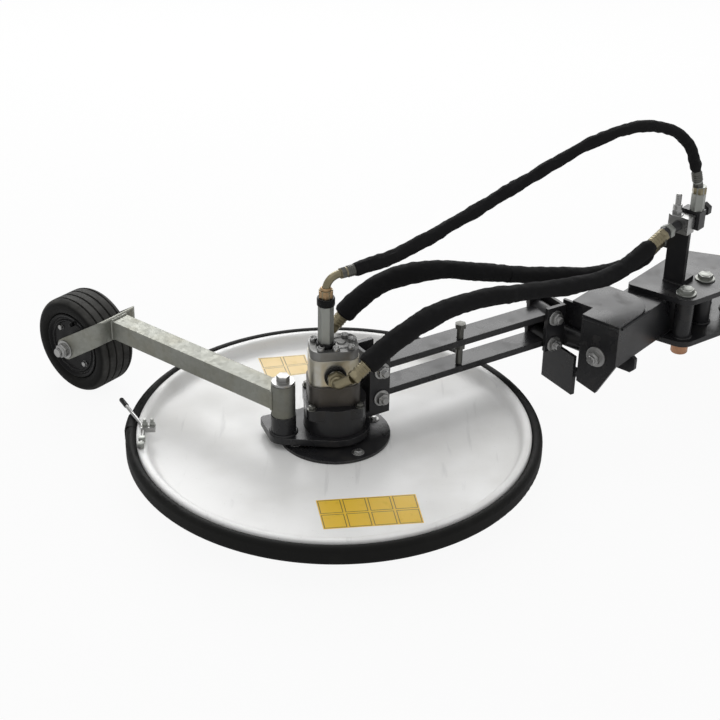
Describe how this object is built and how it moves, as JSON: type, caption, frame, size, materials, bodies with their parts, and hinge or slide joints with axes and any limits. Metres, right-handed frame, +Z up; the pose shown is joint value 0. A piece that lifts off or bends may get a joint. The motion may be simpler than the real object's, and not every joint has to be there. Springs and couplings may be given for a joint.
{
  "type": "disc mower head",
  "caption": "Inter-row disc mower head: dished free-turning cover with rubber bumper over a hydraulic knife rotor, trailing support wheel and parallel float linkage to a swing boom.",
  "frame": {"origin": "on the ground under the middle of the head and boom, hoses left out", "axes": "+X to the boom's side, +Y away from the viewer of the picture, +Z up"},
  "size_m": [1.3454, 0.8113, 0.5282],
  "materials": {
    "white_paint": "gloss paint, lightly dusty",
    "dark_paint": "semi-gloss anthracite paint",
    "bumper_rubber": "matt charcoal rubber",
    "tyre": "matt charcoal rubber",
    "rim_black": "black paint",
    "housing_iron": "dark bronze-grey casting",
    "motor_alloy": "bare alloy",
    "galvanised": "dull zinc coat",
    "zinc_steel": "bright zinc plate",
    "yellow_zinc": "yellow zinc plate",
    "bronze": "plain bronze",
    "blade_steel": "worn plain steel",
    "hose_sleeve": "black woven sleeve"
  },
  "bodies": {
    "head": {"bearing_housing": "housing_iron", "cover_nut": "housing_iron", "carrier": "dark_paint", "arm_pin": "zinc_steel", "near_clevis": "dark_paint", "near_link_bolts": "zinc_steel", "motor_flange": "housing_iron", "motor_body": "motor_alloy", "motor_cover": "motor_alloy", "drain_adapter": "zinc_steel", "drain_elbow": "yellow_zinc", "front_elbow": "yellow_zinc", "rear_elbow": "yellow_zinc", "front_hose": "hose_sleeve", "rear_hose": "hose_sleeve", "drain_hose": "hose_sleeve"},
    "cover": {"cover_disc": "white_paint", "cover_flange": "dark_paint", "bumper_band": "bumper_rubber", "rim_wire": "zinc_steel"},
    "rotor": {"rotor": "blade_steel", "knives": "blade_steel", "saucer_bolt": "blade_steel"},
    "skid": {"skid_saucer": "blade_steel"},
    "wheel_arm": {"arm_sleeve": "galvanised", "arm_tube": "galvanised", "fork": "galvanised", "axle": "zinc_steel"},
    "wheel": {"tyre": "tyre", "wheel_rim": "rim_black"},
    "lower_link": {"lower_link": "dark_paint"},
    "upper_link": {"upper_link": "dark_paint", "stop_screw": "zinc_steel"},
    "boom": {"far_clevis": "dark_paint", "far_link_bolts": "zinc_steel", "cross_tube": "dark_paint", "guard_shoe": "dark_paint", "boom_tube": "dark_paint", "end_plate": "dark_paint", "cap_plate": "dark_paint", "ear_plate": "dark_paint", "roll_bolt": "zinc_steel", "top_pivot_plate": "dark_paint", "bottom_pivot_plate": "dark_paint", "spacer_tubes": "dark_paint", "swing_tube": "dark_paint", "bushing": "bronze", "pivot_bolts": "zinc_steel", "hose_post": "dark_paint", "clamp_block": "motor_alloy", "upper_pipe": "dark_paint", "lower_pipe": "dark_paint", "front_ferrule": "yellow_zinc", "rear_ferrule": "yellow_zinc", "drain_stand": "yellow_zinc"}
  },
  "joints": [
    {"name": "cover_spin", "type": "hinge", "parent": "head", "child": "cover", "pos_m": [-0.12141, -0.05651, 0.066], "axis": [0, 0, 1], "continuous": true},
    {"name": "rotor_spin", "type": "hinge", "parent": "head", "child": "rotor", "pos_m": [-0.12141, -0.05651, 0.038], "axis": [0, 0, 1], "continuous": true},
    {"name": "skid_spin", "type": "hinge", "parent": "rotor", "child": "skid", "pos_m": [-0.12141, -0.05651, 0.016], "axis": [0, 0, 1], "continuous": true},
    {"name": "wheel_swivel", "type": "hinge", "parent": "head", "child": "wheel_arm", "pos_m": [-0.20541, -0.08651, 0.148], "axis": [0, 0, 1], "range_deg": [-35, 60]},
    {"name": "wheel_roll", "type": "hinge", "parent": "wheel_arm", "child": "wheel", "pos_m": [-0.58366, 0.20901, 0.09], "axis": [-0.6157, -0.788, 0], "continuous": true},
    {"name": "float", "type": "hinge", "parent": "head", "child": "lower_link", "pos_m": [-0.06062, -0.00118, 0.117], "axis": [0.5373, -0.8434, 0], "range_deg": [-3, 15], "deforming": ["front_hose", "rear_hose", "drain_hose"]},
    {"name": "upper_link_swing", "type": "hinge", "parent": "head", "child": "upper_link", "pos_m": [-0.06062, -0.00118, 0.169], "axis": [0.5373, -0.8434, 0], "range_deg": [-3, 15]},
    {"name": "boom_level", "type": "hinge", "parent": "lower_link", "child": "boom", "pos_m": [0.25059, 0.19708, 0.117], "axis": [0.5373, -0.8434, 0], "range_deg": [-15, 3]}
  ],
  "couplings": [
    {"joint": "upper_link_swing", "follows": "float", "ratio": 1},
    {"joint": "boom_level", "follows": "float", "ratio": -1}
  ]
}
